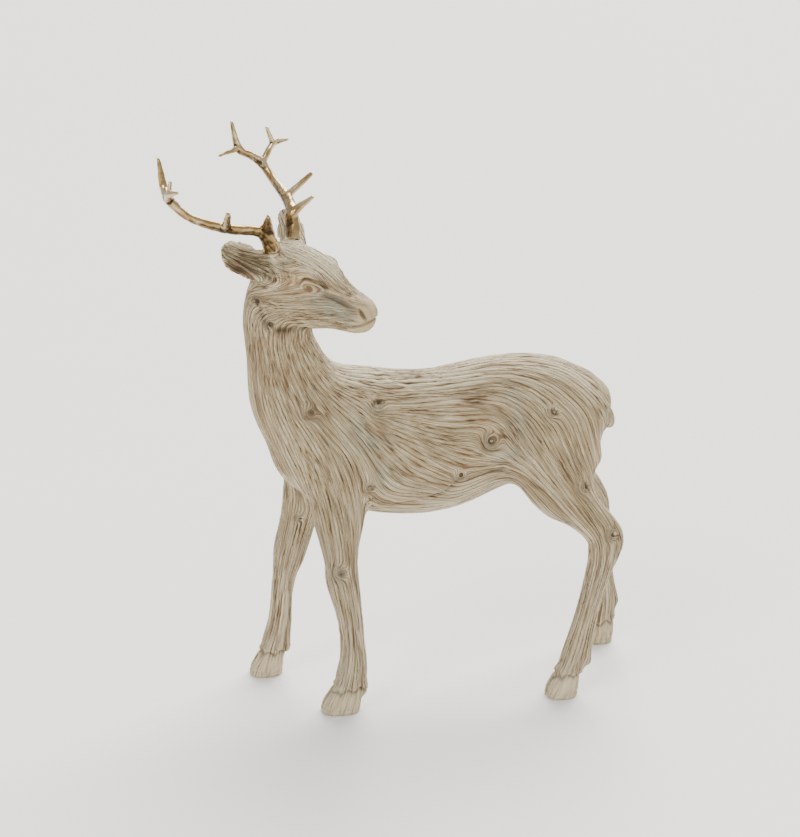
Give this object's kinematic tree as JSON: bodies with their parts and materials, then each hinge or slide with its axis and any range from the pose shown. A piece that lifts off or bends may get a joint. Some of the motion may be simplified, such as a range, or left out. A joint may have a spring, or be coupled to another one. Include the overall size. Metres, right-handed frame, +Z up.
{
  "type": "reindeer figurine",
  "caption": "Standing reindeer figurine with carved wood-grain fur, its head turned back over its flank, and slender gilded antlers plugged into the head.",
  "frame": {"origin": "centre of the bounding box, at the plane the hooves stand on", "axes": "+Z up; the animal's body faces -X, and its head looks back over its left flank, which is on the -Y side"},
  "size_m": [0.3726, 0.1358, 0.4459],
  "materials": {
    "cast_resin": "cast resin carved with flowing wood grain, whitewashed over brown, with pale grey-green patches",
    "gilding": "polished pale gold with dark patina in the hollows"
  },
  "bodies": {
    "root": {"body": "cast_resin", "left_antler": "gilding", "right_antler": "gilding"}
  },
  "joints": []
}
